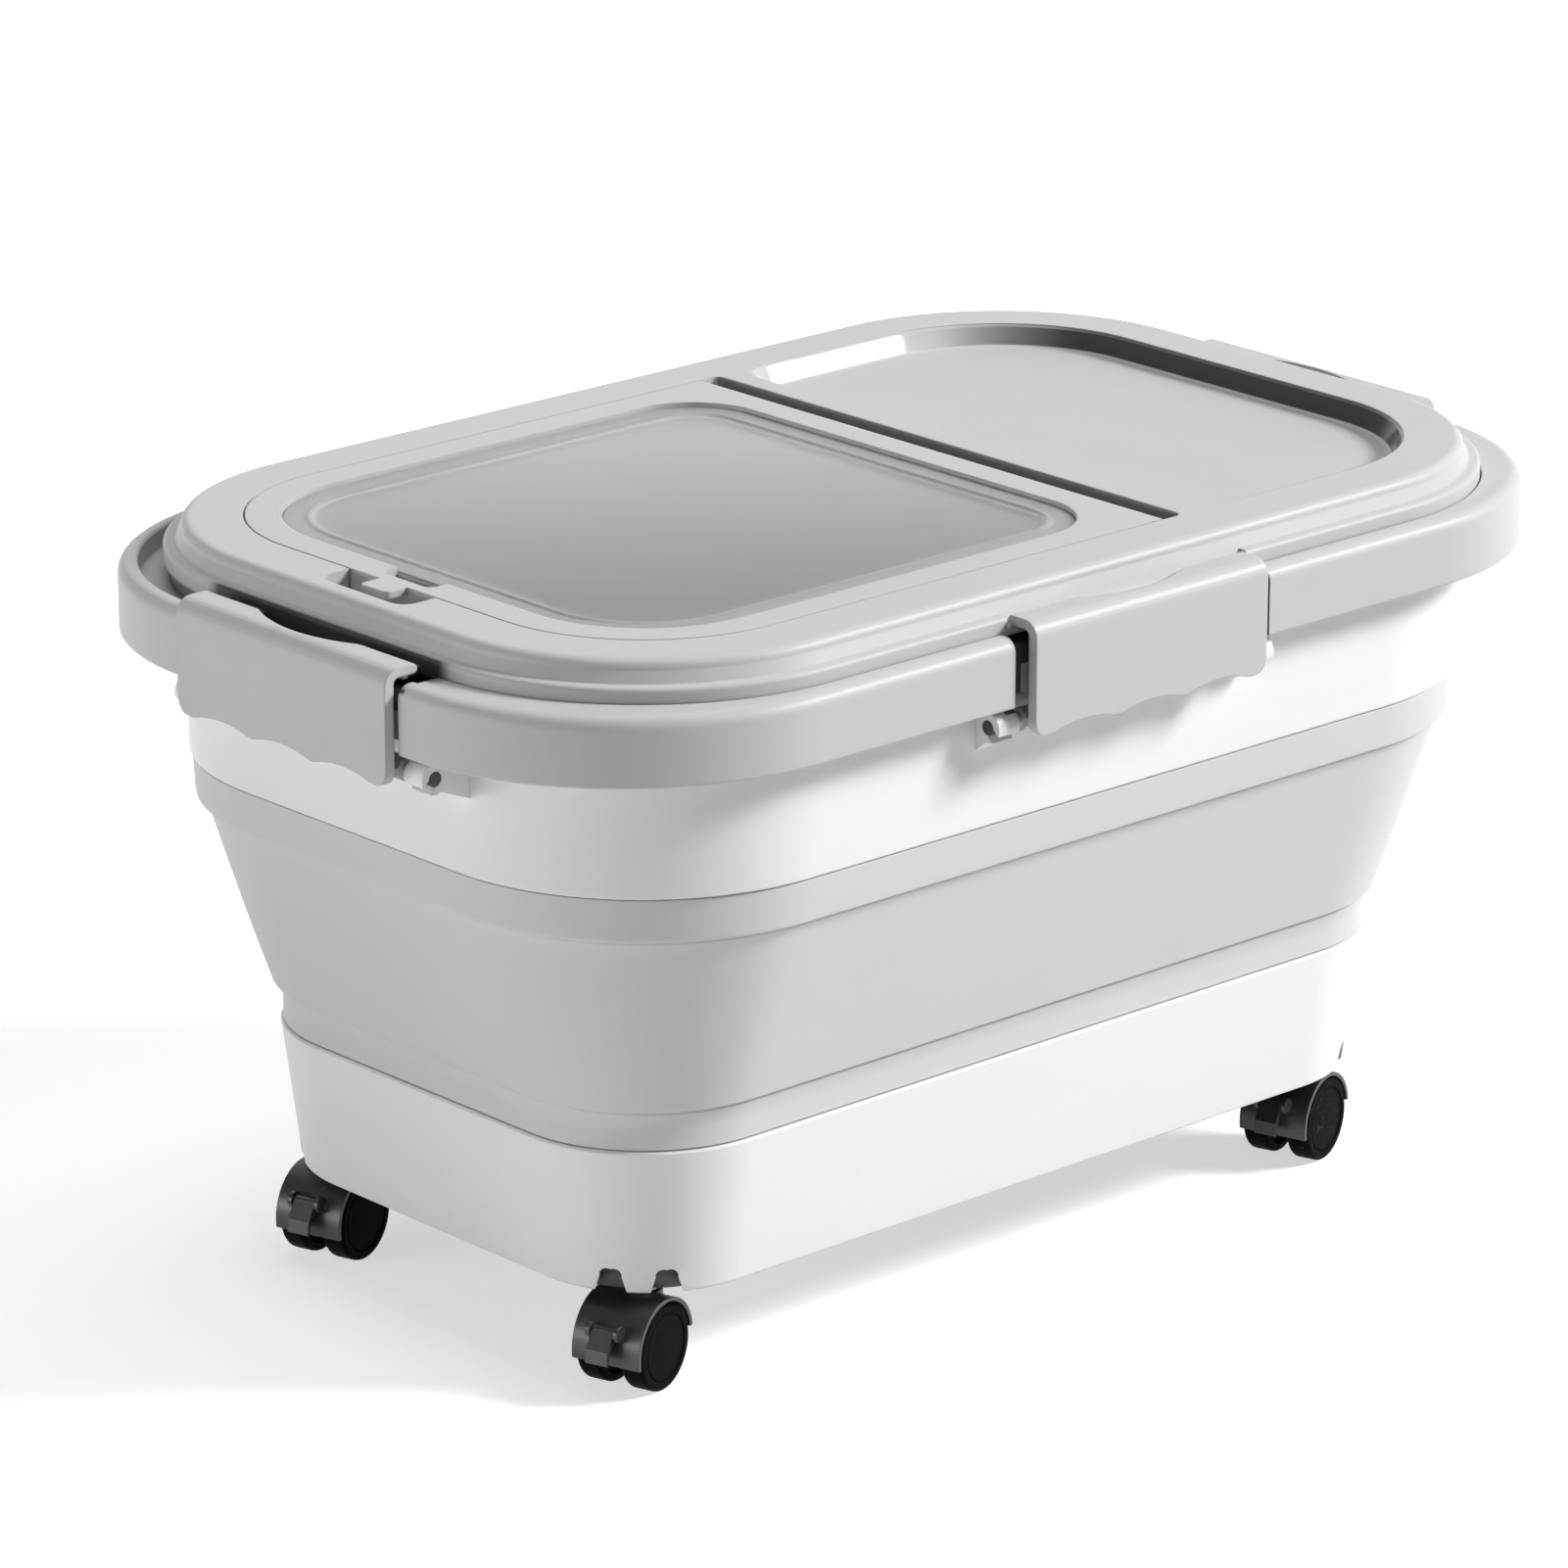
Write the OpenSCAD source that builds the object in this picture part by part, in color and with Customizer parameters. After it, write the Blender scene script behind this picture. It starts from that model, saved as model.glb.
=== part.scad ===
// Folding rice bin on casters: a soft wall folds between a hard base and a hard ring,
// a lid sits in the rim under four swinging clips, and a flip lid covers one half.
// X runs along the bin, with the flip lid at -X. Z = 0 is the floor.

/* [Overall size] */
// Length of the grey rim, along X
rim_length = 410; // [380:2:500]
// Width of the grey rim, along Y
rim_width = 260; // [240:2:320]
// Height of the tub's foot above the floor
ground_clearance = 30; // [29:0.5:36]
// Height of the white base
base_height = 45; // [38:1:60]
// Height of the soft wall that shows between base and ring
soft_height = 84; // [80:1:100]
// Height of the white ring, from the soft wall up to its top flange
ring_height = 50; // [44:1:62]

/* [Corner radii, measured from the tub's corner centres] */
// Base at its foot
base_foot_r = 38.9; // [36:0.1:40]
// Base at its top
base_top_r = 44.4; // [43:0.1:45]
// Soft wall at its lower fold
fold_in_r = 46.4; // [45.8:0.1:48]
// Soft wall at its upper fold
fold_out_r = 64.6; // [62:0.1:65.5]
// White ring at its lower edge
ring_r = 69.3; // [68.8:0.1:69.8]

/* [Walls] */
// Wall of the hard white parts
wall = 2.5; // [2:0.1:2.8]
// Wall of the soft fold
soft_wall = 2; // [1.6:0.1:2.4]
// Wall of the lid and the flip lid
lid_wall = 2.4; // [1.8:0.1:2.6]
// Gap between neighbouring pieces that touch when moulded
fit = 0.3; // [0.2:0.05:0.4]
// Radial clearance of a pin in its bore
pin_clearance = 0.05; // [0.03:0.01:0.09]

/* [Rim] */
// Height of the rim's outer skirt
rim_height = 20.3; // [17:0.1:24]
// Width of the flat on top of the rim
rim_land = 6; // [5.4:0.1:7]
// How much further the rim stands out at the ends than at the sides
end_overhang = 7; // [5:0.5:10]
// Outer edge radius of the rim
rim_fillet = 4; // [2:0.5:5]

/* [Lid] */
// Height of the lid above the rim
lid_rise = 11; // [9:0.5:14]
// Shoulder radius of the lid
lid_fillet = 3; // [2.6:0.1:4]
// Height of the rounded step round the lid's foot, above its flange
lid_step = 3; // [2:0.1:4]
// Depth of the shallow tray in the lid
tray_depth = 6.5; // [4:0.5:8]

/* [Flip lid] */
// Distance from the bin's middle to the flip lid's hinge
hinge_x = 36; // [20:1:50]
// Distance of the flip lid's long sides in from the rim's edge
flip_margin = 29.6; // [28:0.2:40]
// Distance of the flip lid's free end in from the rim's end
flip_end_margin = 37.1; // [36:0.1:60]
// Corner radius of the flip lid at its free end
flip_corner = 51.6; // [40:0.2:54]
// Seam all round the flip lid
seam = 0.5; // [0.4:0.1:1]
// Width of the flip lid's frame round the window
frame_width = 11; // [10:0.5:16]
// Radius of the rolled hinge edge
roll_r = 4; // [3.4:0.1:4.2]
// Hinge pin radius
flip_pin_r = 1.6; // [1.2:0.1:2]

/* [Clips] */
// Length of a clip
clip_length = 92; // [80:1:100]
// Thickness of a clip's plate
clip_wall = 3.2; // [2.6:0.1:3.6]
// Distance from the rim's outer face in to the clip's pivot
pivot_in = 6.5; // [6:0.1:7]
// Radius of the clip's pin
clip_pin_r = 2.2; // [1.8:0.1:2.6]
// Scallops along a clip's lower edge
scallops = 3; // [2:1:5]

/* [Casters] */
// Wheel diameter
wheel_d = 26; // [24:0.5:28]
// Width of one of the twin wheels
wheel_w = 7.6; // [6.6:0.2:9]
// Distance of the axle behind the stem
trail = 5; // [3:0.5:7]
// Angle that the casters are swivelled to
caster_turn = 17; // [-45:1:45]
// Distance of a stem in from the rim's end
stem_in_x = 70; // [65:1:80]
// Distance of a stem in from the rim's side
stem_in_y = 63; // [58:1:72]

/* [Hidden] */
$fn = 72;
eps = 0.01;
clip_sides = ["front", "right", "back", "left"];
corners = [["front_left", -1, -1], ["front_right", 1, -1], ["back_right", 1, 1], ["back_left", -1, 1]];
caster_parts = ["stem", "hood", "axle", "wheel_inner", "wheel_outer", "brake"];

// corner centres of the tub, and of the rim that overhangs it
core = [rim_length / 2 - 82 - end_overhang, rim_width / 2 - 82];
rim_r = 79;
rim_core = [rim_length / 2 - rim_r, rim_width / 2 - rim_r];
// place of a caster's stem
stem = [rim_length / 2 - stem_in_x, rim_width / 2 - stem_in_y];

// heights
base_z = ground_clearance;
base_top = base_z + base_height;
soft_top = base_top + soft_height;
ring_top = soft_top + ring_height;
shelf_z = ring_top + 2.5;
rim_top = shelf_z + 6;
rim_foot = rim_top - rim_height;
lid_top = rim_top + lid_rise;
floor_z = base_z + 8;
floor_t = 2.5;

// 2-D arc as a list of points
function arc(x, y, r, from, to, n = 6) =
    [for (i = [0:n]) let (a = from + (to - from) * i / n) [x + r * cos(a), y + r * sin(a)]];

// radius of the base's outer face at a height
function base_r(z) = base_foot_r + (base_top_r - base_foot_r) * (z - base_z) / base_height;

// 2-D outline with round corners, its left and right corners of different radius
module outline(x0, x1, hy, rl, rr) {
    translate([x0 + rl, -hy]) square([x1 - rr - x0 - rl, 2 * hy]);
    translate([x0, rl - hy]) square([rl + eps, 2 * (hy - rl)]);
    translate([x1 - rr - eps, rr - hy]) square([rr + eps, 2 * (hy - rr)]);
    for (s = [-1, 1]) {
        translate([x0 + rl, s * (hy - rl)]) circle(rl);
        translate([x1 - rr, s * (hy - rr)]) circle(rr);
    }
}

// the same for a rectangle grown by r
module grown(c, r) { outline(-c[0] - r, c[0] + r, c[1] + r, r, r); }

// slab between two heights, in the shape of the outline given as its child
module slab(z0, z1) { translate([0, 0, z0]) linear_extrude(z1 - z0) children(); }

// sweeps a profile (x = distance out from the outline, y = height) round an outline
module sweep(x0, x1, hy, rl, rr) {
    ends = [[x1, hy, rr], [x0, hy, rl], [x0, -hy, rl], [x1, -hy, rr]];
    dirs = [[1, 1], [-1, 1], [-1, -1], [1, -1]];
    lengths = [2 * (hy - rr), x1 - x0 - rl - rr, 2 * (hy - rl), x1 - x0 - rl - rr];
    for (i = [0:3])
        translate([ends[i][0] - dirs[i][0] * ends[i][2], ends[i][1] - dirs[i][1] * ends[i][2], 0])
            rotate(90 * i) {
                rotate_extrude(angle = 90) translate([ends[i][2], 0]) children();
                translate([ends[i][2], 0, 0]) rotate([90, 0, 0]) linear_extrude(lengths[i]) children();
            }
}

// sweeps a profile round a rectangle of corner centres (x = distance out from them)
module ring_sweep(c) { sweep(-c[0], c[0], c[1], 0, 0) children(); }

// ---------- tub ----------

socket_r = 3.5;
socket_top = floor_z + 6;
boss_r = 8;

module base_wall_profile() {
    inner = [base_top_r - wall, base_r(floor_z) - wall, base_foot_r - wall];
    polygon(concat(
        [[inner[2], base_z], [base_foot_r - 1.5, base_z]],
        arc(base_foot_r - 1.5, base_z + 1.5, 1.5, -90, 0, 4),
        [[base_top_r, base_top - 0.6], [base_top_r - 0.6, base_top], [inner[0], base_top]],
        [[inner[1], floor_z]]
    ));
}

// pair of round-topped cut-outs in a corner of the foot, with a tongue between them
module corner_scallops() {
    for (s = [-1, 1])
        translate([0, s * 8, 0]) rotate([90, 0, 90]) linear_extrude(12) {
            translate([-2.4, 0]) square([4.8, 7.4]);
            for (k = [-1, 1]) translate([k * 1, 5.6]) circle(2.2);
            polygon([[-5, -1], [5, -1], [3.1, 5.4], [-3.1, 5.4]]);
        }
}

module base_tub() {
    color("white") difference() {
        union() {
            ring_sweep(core) base_wall_profile();
            slab(floor_z, floor_z + floor_t) grown(core, base_r(floor_z) - wall + 0.4);
            for (c = corners) translate([c[1] * stem[0], c[2] * stem[1], base_z]) {
                cylinder(r = boss_r, h = socket_top - base_z);
                translate([0, 0, socket_top - base_z]) cylinder(r1 = boss_r, r2 = boss_r - 2, h = 2);
            }
            // stiffening ribs under the floor
            for (k = [-2:2])
                translate([k * 42 - 0.8, -core[1] - base_foot_r + 3, base_z + 3])
                    cube([1.6, 2 * (core[1] + base_foot_r - 3), 5.5]);
            for (k = [-1:1])
                translate([-core[0] - base_foot_r + 3, k * 32 - 0.8, base_z + 3])
                    cube([2 * (core[0] + base_foot_r - 3), 1.6, 5.5]);
        }
        for (c = corners) {
            translate([c[1] * stem[0], c[2] * stem[1], base_z - 1])
                cylinder(r = socket_r + pin_clearance, h = socket_top - base_z - 0.5);
            translate([c[1] * core[0], c[2] * core[1], base_z])
                rotate(atan2(c[2], c[1])) translate([base_foot_r - 8, 0, 0]) corner_scallops();
        }
    }
}

module soft_profile() {
    top_r = ring_r - wall - fit;
    foot_r = base_top_r - wall - fit;
    tongue = 8;
    tongue_r = base_r(base_top - tongue) - wall - fit;
    z0 = base_top + fit;
    z1 = soft_top - fit;
    low = z0 + 11;
    high = z1 - 13;
    polygon([
        // outside, upwards
        [tongue_r, base_top - tongue], [foot_r, z0], [base_top_r - 0.8, z0], [base_top_r - 0.8, low],
        [fold_in_r, low + 1.6], [fold_out_r, high - 1.6], [ring_r - 1.6, high], [ring_r - 0.8, z1],
        [top_r, z1], [top_r, z1 + 9],
        // inside, downwards
        [top_r - soft_wall, z1 + 9], [top_r - soft_wall, high + 1],
        [fold_out_r - soft_wall, high + 0.6 - 1.6], [fold_in_r - soft_wall, low + 2.8],
        [foot_r - soft_wall, low + 1], [foot_r - soft_wall, z0],
        [tongue_r - soft_wall, base_top - tongue]
    ]);
}

module folding_wall() { color("darkgray") ring_sweep(core) soft_profile(); }

// ---------- ring and rim ----------

ring_top_r = ring_r + 0.7;
ring_bore_r = ring_top_r - wall;
pivot_z = rim_foot - 6.2;

function side_distance(i) = (i % 2 == 0 ? rim_width : rim_length) / 2;
function side_core(i) = i % 2 == 0 ? core[1] : core[0];

// puts its child at the clip place of a side: origin on the rim's outer face, +Y inwards
module at_side(i) { rotate(90 * i) translate([0, -side_distance(i), 0]) children(); }

// extrudes a (y, z) section along X, centred
module along_x(length) { translate([-length / 2, 0, 0]) rotate([90, 0, 90]) linear_extrude(length) children(); }

socket_length = 8;
socket_gap = 0.8;
socket_wall = 2.4;

// snap socket for one end of a clip's pin, on an arm from the ring's wall
module pin_socket(i, s) {
    wall_y = side_distance(i) - side_core(i) - ring_r + 0.6;
    translate([s * (clip_length / 2 + socket_gap + socket_length / 2), pivot_in, pivot_z])
        difference() {
            union() {
                rotate([0, 90, 0]) cylinder(r = clip_pin_r + socket_wall, h = socket_length, center = true);
                along_x(socket_length - 2)
                    polygon([[0, 3], [wall_y - pivot_in, 3], [wall_y - pivot_in, -9], [0, -3.4]]);
            }
            rotate([0, 90, 0])
                cylinder(r = clip_pin_r + pin_clearance, h = socket_length + 2, center = true);
            rotate([135, 0, 0]) translate([0, 0, 4])
                cube([socket_length + 2, 1.5 * clip_pin_r, 8], center = true);
        }
}

module upper_ring() {
    color("white") union() {
        ring_sweep(core) polygon([
            [ring_r - wall, soft_top], [ring_r - 0.5, soft_top], [ring_r, soft_top + 0.5],
            [ring_top_r, ring_top - 3], [ring_top_r + 2, ring_top - 2.4], [ring_top_r + 2, ring_top],
            [ring_bore_r, ring_top]
        ]);
        for (i = [0:3], s = [-1, 1]) at_side(i) pin_socket(i, s);
    }
}

notch_depth = 3.3;
notch_gap = [4.5, 1.2];
cheek = 1.8;

function notch_half(i) = clip_length / 2 + notch_gap[i % 2];

module rim_outer_edge(inner) {
    polygon(concat(
        [[inner, rim_foot], [rim_r - 0.5, rim_foot], [rim_r, rim_foot + 0.5]],
        arc(rim_r - rim_fillet, rim_top - rim_fillet, rim_fillet, 0, 90),
        [[rim_r - rim_land + 0.6, rim_top], [rim_r - rim_land, rim_top - 0.6], [rim_r - rim_land, shelf_z - 2.5]],
        [[inner, shelf_z - 2.5]]
    ));
}

module rim_profile() {
    difference() {
        rim_outer_edge(rim_r - rim_land + 1.8);
        translate([rim_r - rim_land + 1.8, rim_foot - 1])
            square([rim_land - 1.8 - 2.2, rim_height + 1 - 2.4]);
    }
}

// recess in the rim for a clip: what is cut away
module notch_cut(i) {
    half = notch_half(i);
    translate([-half, -1, rim_foot - 1]) cube([2 * half, 1 + notch_depth, rim_height + 2]);
    translate([-half, -1, rim_top - notch_depth]) cube([2 * half, rim_land + 2, notch_depth + 1]);
}

// and the lining that closes it again behind the clip
module notch_lining(i) {
    half = notch_half(i);
    length = 2 * half + 2 * cheek;
    translate([-length / 2, notch_depth, rim_foot + 3]) cube([length, 2, rim_height - 3 - notch_depth]);
    translate([-length / 2, notch_depth, shelf_z - 2.5])
        cube([length, rim_land + 1.6 - notch_depth, rim_top - notch_depth - shelf_z + 2.5]);
    for (s = [-1, 1])
        translate([s * (half + cheek / 2), rim_r, 0]) mirror([0, 1, 0])
            along_x(cheek) rim_outer_edge(rim_r - rim_land + 1.8);
}

// stiffening ribs under the rim, between the clips and round the corners
module rim_ribs() {
    rib = 1.6;
    z0 = rim_foot + 2.5;
    height = ring_top + 1 - z0;
    for (sx = [-1, 1], sy = [-1, 1]) {
        for (k = [0:2]) translate([sx * (66 + 24 * k) - rib / 2, sy * (side_distance(0) - 5.9) - 3.9, z0])
            cube([rib, 7.8, height]);
        translate([sx * rim_core[0], sy * rim_core[1], 0]) rotate(atan2(sy, sx))
            for (a = [-24, 0, 24]) rotate(a) translate([rim_r - 12, -rib / 2, z0])
                cube([10, rib, height]);
    }
}

// flat that fills the two front corners between the rim's land and the lid, open below
module corner_land() {
    y1 = -notch_half(1) - cheek;
    inner = flange_r + 0.5;
    difference() {
        slab(shelf_z - 1, rim_top) difference() {
            grown(rim_core, rim_r - rim_land + 0.8);
            grown(core, inner);
        }
        translate([-rim_length, y1, 0]) cube([2 * rim_length, rim_width, lid_top]);
    }
}

module corner_land_hollow() {
    slab(ring_top - 1, rim_top - 2.4) difference() {
        grown(rim_core, rim_r - rim_land);
        grown(core, flange_r + 2.8);
        translate([-rim_length, -notch_half(1) - cheek - 2]) square([2 * rim_length, rim_width]);
    }
}

module rim() {
    color("gainsboro") union() {
        difference() {
            union() {
                ring_sweep(rim_core) rim_profile();
                corner_land();
                slab(ring_top, shelf_z) difference() {
                    grown(rim_core, rim_r - rim_land + 1);
                    grown(core, ring_bore_r);
                }
                rim_ribs();
            }
            corner_land_hollow();
            for (i = [0:3]) at_side(i) notch_cut(i);
        }
        for (i = [0:3]) at_side(i) notch_lining(i);
    }
}

// ---------- lid ----------

flange_z = rim_top + 1.5;
flange_t = 2.5;
flange_r = rim_width / 2 - rim_land - 0.5 - core[1];
lid_r = flange_r - 2;
lid_top_r = lid_r - 3 - lid_fillet;
step_z = flange_z + lid_step;
step_round = 1.4;
plug_r = ring_bore_r - 3;
hook_reach = rim_land + 2;

flip_x0 = flip_end_margin - rim_length / 2;
flip_half_width = rim_width / 2 - flip_margin;
pocket_x1 = hinge_x + roll_r + 4.5;
pocket_z = lid_top - 9;
hinge_z = lid_top - roll_r;
// window opening in the flip lid's frame
window = [flip_x0 + frame_width, hinge_x - roll_r - 5.5, flip_half_width - frame_width];
window_r = [flip_corner - frame_width, 24];
tray_r = 52.5;
tray_slope = 3.5;
tray = [pocket_x1 + 7.5, core[0] + tray_r, core[1] + tray_r];
lug_y = 34;
lug_w = 15;
latch_w = 12;
scoop = [12, 38, 7.5];

// window opening grown outwards by g
module window_outline(g) {
    outline(window[0] - g, window[1] + g, window[2] + g, window_r[0] + g, window_r[1] + g);
}

// pocket of the flip lid, grown outwards by g
module pocket_outline(g) {
    outline(flip_x0 - g, pocket_x1 + g, flip_half_width + g, flip_corner + g, 3 + g);
}

tray_corner = 12;

module tray_outline(g) {
    outline(tray[0] - g, tray[1] + g, tray[2] + g, tray_corner + g, tray_r + g);
}

// hollow of the tray, its wall leaning outwards from a small round at the foot
module tray_hollow() {
    foot = lid_top - tray_depth;
    slab(foot, lid_top + 1) tray_outline(-tray_slope - 1);
    sweep(tray[0], tray[1], tray[2], tray_corner, tray_r) polygon([
        [-tray_slope - 2, foot], [-tray_slope - 0.8, foot], [-tray_slope, foot + 0.4],
        [-0.7, lid_top - 0.9], [0, lid_top - 0.2], [0, lid_top + 1], [-tray_slope - 2, lid_top + 1]
    ]);
}

module lid_wall_profile() {
    polygon(concat(
        [[lid_r - lid_wall, shelf_z], [lid_r, shelf_z], [lid_r, flange_z - flange_t]],
        [[flange_r, flange_z - flange_t], [flange_r, flange_z - 0.5], [flange_r - 0.5, flange_z]],
        [[lid_r, flange_z]],
        arc(lid_top_r, lid_top - lid_fillet, lid_fillet, 0, 90),
        [[lid_top_r - 0.6, lid_top], [lid_top_r - 0.6, lid_top - lid_wall]],
        arc(lid_top_r, lid_top - lid_fillet, max(lid_fillet - lid_wall, 0.4), 90, 0, 3),
        [[lid_r - lid_wall, flange_z]]
    ));
}

// finger scoop in the lid beside the flip lid's tab
module scoop_outline(g) {
    outline(flip_x0 - scoop[0] - g, flip_x0 + 2, scoop[1] / 2 + g, 5 + g, 0.5);
}

// rounded step above the flange, left out where the side clips hook in
module lid_foot_step() {
    half = clip_length / 2 + 1.5;
    difference() {
        ring_sweep(core) polygon(concat(
            [[lid_r - 2, flange_z - 1], [flange_r, flange_z - 1]],
            arc(flange_r - step_round, step_z - step_round, step_round, 0, 90),
            [[lid_r - 2, step_z]]
        ));
        for (i = [0, 2]) at_side(i) translate([-half, 0, flange_z - 0.5])
            cube([2 * half, side_distance(i) - side_core(i) - lid_r + 6, lid_step + 1]);
    }
}

module lid_panel() {
    bore = flip_pin_r + pin_clearance;
    color("gainsboro") difference() {
        union() {
            ring_sweep(core) lid_wall_profile();
            lid_foot_step();
            slab(lid_top - lid_wall, lid_top) grown(core, lid_top_r - 0.5);
            ring_sweep(core) translate([plug_r - 2, ring_top - 6]) square([2, lid_top - 1 - ring_top + 6]);
            slab(pocket_z - 2, lid_top - 1) pocket_outline(2);
            slab(lid_top - tray_depth - 2, lid_top - 1) tray_outline(2);
            slab(lid_top - scoop[2] - 2, lid_top - 1) scoop_outline(2);
            // lugs that the end clips hook over, either side of their finger cut
            for (s = [0, 180], k = [-1, 1]) rotate(s)
                translate([0.5 + rim_land - rim_length / 2, k * lug_y - lug_w / 2, flange_z - flange_t])
                    cube([rim_length / 2 - rim_land + 0.5 - core[0] - lid_r, lug_w, flange_t]);
            // hinge pin bosses
            for (s = [-1, 1]) translate([hinge_x - 5, s * (flip_half_width + 3) - 3.5, hinge_z - 4])
                cube([10, 7, 7]);
        }
        slab(pocket_z, lid_top + 1) pocket_outline(0);
        slab(pocket_z - 3, lid_top) outline(flip_x0 + 18, hinge_x - 18, flip_half_width - 18, flip_corner - 18, 10);
        tray_hollow();
        slab(lid_top - scoop[2], lid_top + 1) scoop_outline(0);
        for (s = [-1, 1]) translate([hinge_x, s * (flip_half_width + 2), hinge_z])
            rotate([90, 0, 0]) cylinder(r = bore, h = 7, center = true);
    }
}

// lip seal round the lid's plug
module lid_seal() {
    r = plug_r + 0.1;
    z = ring_top - 5.5;
    out = ring_bore_r - fit;
    color("lightgray") ring_sweep(core) polygon([
        [r, z], [r + 1.2, z], [out, z + 1], [r + 1.2, z + 1.6], [r + 1.2, z + 2.8], [out, z + 3.8],
        [r + 1.2, z + 4.4], [r + 1.2, z + 5.2], [r, z + 5.2]
    ]);
}

// ---------- flip lid ----------

frame_foot = pocket_z + 2 * fit;
seat_z = frame_foot + 1.3;

module frame_outline(g) {
    outline(flip_x0 + seam - g, hinge_x - 2 + g, flip_half_width - seam + g, flip_corner - seam + g, 2);
}

module flip_frame() {
    bore = flip_pin_r + pin_clearance;
    width = 2 * (flip_half_width - seam);
    color("gainsboro") difference() {
        union() {
            slab(lid_top - 2.2, lid_top) difference() { frame_outline(0); window_outline(0); }
            slab(frame_foot, lid_top - 1) difference() { frame_outline(0); frame_outline(-1.8); }
            slab(seat_z + 1.4, lid_top - 1) difference() { window_outline(6.4); window_outline(0); }
            slab(frame_foot, seat_z + 2) difference() { window_outline(1.8); window_outline(0); }
            slab(frame_foot + 1, seat_z + 2) difference() { window_outline(6.4); window_outline(5); }
            slab(frame_foot, seat_z) difference() { window_outline(1); window_outline(-4); }
            // rolled edge round the hinge axis
            translate([0, -width / 2, 0]) rotate([90, 0, 180]) mirror([1, 0, 0]) linear_extrude(width)
                polygon(concat(arc(hinge_x, hinge_z, roll_r, -110, 90, 12),
                    [[hinge_x - 3, lid_top], [hinge_x - 3, hinge_z - 2.5]]));
            // snap tab at the free end
            slab(lid_top - 2.2, lid_top)
                outline(flip_x0 - 7, flip_x0 + 3, latch_w / 2, 2, 0.5);
        }
        // finger recess between tab and window
        slab(lid_top - 3, lid_top + 1) outline(window[0] - 6.5, window[0] + 1, 11, 3, 0.5);
        for (s = [-1, 1]) translate([hinge_x, s * width / 2, hinge_z])
            rotate([90, 0, 0]) cylinder(r = bore, h = 28, center = true);
    }
}

module flip_window() {
    out = -0.2;
    band = lid_top - 1.3;
    ridge = lid_top - 0.7;
    floor_top = lid_top - 3.4;
    floor_in = -12.5;
    color([0.78, 0.79, 0.8, 0.8]) union() {
        sweep(window[0], window[1], window[2], window_r[0], window_r[1]) polygon([
            [out, seat_z], [out, band - 0.4], [out - 0.4, band], [-6.8, band], [-7.7, ridge],
            [-8.7, ridge], [-9.3, ridge - 0.3], [-11.4, floor_top], [floor_in, floor_top],
            [floor_in, floor_top - 2], [-11.8, floor_top - 2], [-8.6, ridge - 2], [-7.6, ridge - 2],
            [-6.9, band - 2], [out - 2, band - 2], [out - 2, seat_z]
        ]);
        slab(floor_top - 2, floor_top) window_outline(floor_in + 0.1);
    }
}

module flip_seal() {
    color("gray") sweep(window[0], window[1], window[2], window_r[0], window_r[1]) polygon([
        [1.9, pocket_z + fit], [4.9, pocket_z + fit], [4.9, seat_z + 1], [4.4, seat_z + 1.35],
        [2.4, seat_z + 1.35], [1.9, seat_z + 1]
    ]);
}

module flip_hinge_pins() {
    inner = flip_half_width - seam - 13;
    color("silver") for (s = [-1, 1])
        translate([hinge_x, s * inner, hinge_z]) rotate([-90 * s, 0, 0])
            cylinder(r = flip_pin_r, h = 18.3);
}

// ---------- clips ----------

clip_out = 3.7;
clip_foot = pivot_z - 3;
clip_under = flange_z + fit;
clip_flange = 2.8;
clip_round = 5;
clip_top = clip_under + clip_flange;
finger_chord = 48;
finger_depth = 6.5;

module clip_section() {
    inner = clip_wall - clip_out;
    polygon(concat(
        [[-clip_out + 0.6, clip_foot], [-clip_out, clip_foot + 0.6]],
        arc(clip_round - clip_out, clip_top - clip_round, clip_round, 180, 90),
        arc(hook_reach - clip_flange / 2, clip_top - clip_flange / 2, clip_flange / 2, 90, -90, 6),
        arc(inner + 1.8, clip_under - 1.8, 1.8, 90, 180, 4),
        [[inner, clip_foot + 0.6], [inner - 0.6, clip_foot]]
    ));
}

// outline of a clip seen from outside, with its scalloped lower edge
module clip_face() {
    pitch = (clip_length - 12) / scallops;
    rise = 2.2;
    r = (pitch * pitch / 4 + rise * rise) / (2 * rise);
    difference() {
        outline(-clip_length / 2, clip_length / 2, clip_top - clip_foot, 5, 5);
        for (k = [0:scallops - 1])
            translate([-clip_length / 2 + 6 + (k + 0.5) * pitch, clip_foot - clip_top + rise - r]) circle(r);
    }
}

module clip() {
    finger_r = (finger_chord * finger_chord / 4 + finger_depth * finger_depth) / (2 * finger_depth);
    color("gainsboro") union() {
        difference() {
            intersection() {
                along_x(clip_length) clip_section();
                translate([0, 20, clip_top]) rotate([90, 0, 0]) linear_extrude(30) clip_face();
            }
            translate([0, hook_reach - finger_depth + finger_r, clip_under - 1])
                cylinder(r = finger_r, h = clip_flange + 2, $fn = 180);
        }
        // barrel with its stub pins, and the web that carries it
        translate([0, pivot_in, pivot_z]) rotate([0, 90, 0]) {
            cylinder(r = clip_pin_r + 1.2, h = clip_length - 6, center = true);
            cylinder(r = clip_pin_r, h = clip_length + 2 * (socket_gap + socket_length), center = true);
        }
        translate([3 - clip_length / 2, clip_wall - clip_out - 0.4, pivot_z - 1.3])
            cube([clip_length - 6, pivot_in - clip_wall + clip_out + 0.4, 2.6]);
        for (k = [-3:3]) translate([k * (clip_length - 10) / 6, 0, 0]) along_x(1.4)
            polygon([[clip_wall - clip_out - 0.4, pivot_z], [pivot_in - 1.5, pivot_z],
                [clip_wall - clip_out - 0.4, pivot_z + 9]]);
    }
}

// ---------- casters ----------

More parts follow.
